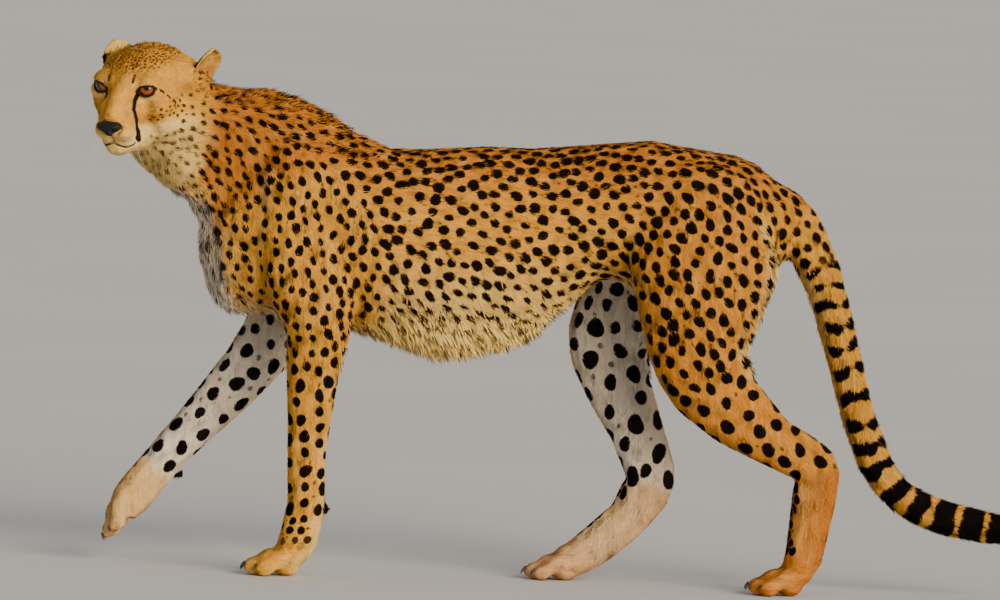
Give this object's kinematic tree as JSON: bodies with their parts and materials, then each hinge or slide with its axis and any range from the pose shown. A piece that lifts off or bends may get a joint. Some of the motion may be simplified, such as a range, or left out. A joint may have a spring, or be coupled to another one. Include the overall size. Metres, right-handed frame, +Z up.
{
  "type": "cheetah",
  "caption": "Life-size cheetah in mid-step, head turned to its left side, spotted coat and long tail curving down and back.",
  "frame": {"origin": "centre of the whole box, at the floor the feet stand on", "axes": "+Z up, the animal walks along -X, its left side towards -Y"},
  "size_m": [1.516, 0.3156, 0.8307],
  "materials": {
    "coat": "short golden fur with dark solid spots",
    "eye": "wet amber eye with a round pupil",
    "leather": "black bare nose skin, slightly moist",
    "horn": "dark blunt horn"
  },
  "bodies": {
    "root": {"head": "coat", "neck": "coat", "trunk": "coat", "tail_1": "coat", "tail_2": "coat", "tail_3": "coat", "tail_4": "coat", "ear_left": "coat", "arm_left": "coat", "forearm_left": "coat", "forepaw_left": "coat", "thigh_left": "coat", "shank_left": "coat", "metatarsus_left": "coat", "hindpaw_left": "coat", "eye_left": "eye", "ear_right": "coat", "arm_right": "coat", "forearm_right": "coat", "forepaw_right": "coat", "thigh_right": "coat", "shank_right": "coat", "metatarsus_right": "coat", "hindpaw_right": "coat", "eye_right": "eye", "nose": "leather", "claw_forepaw_left_1": "horn", "claw_forepaw_left_2": "horn", "claw_forepaw_left_3": "horn", "claw_forepaw_left_4": "horn", "claw_forepaw_right_1": "horn", "claw_forepaw_right_2": "horn", "claw_forepaw_right_3": "horn", "claw_forepaw_right_4": "horn", "claw_hindpaw_left_1": "horn", "claw_hindpaw_left_2": "horn", "claw_hindpaw_left_3": "horn", "claw_hindpaw_left_4": "horn", "claw_hindpaw_right_1": "horn", "claw_hindpaw_right_2": "horn", "claw_hindpaw_right_3": "horn", "claw_hindpaw_right_4": "horn"}
  },
  "joints": []
}
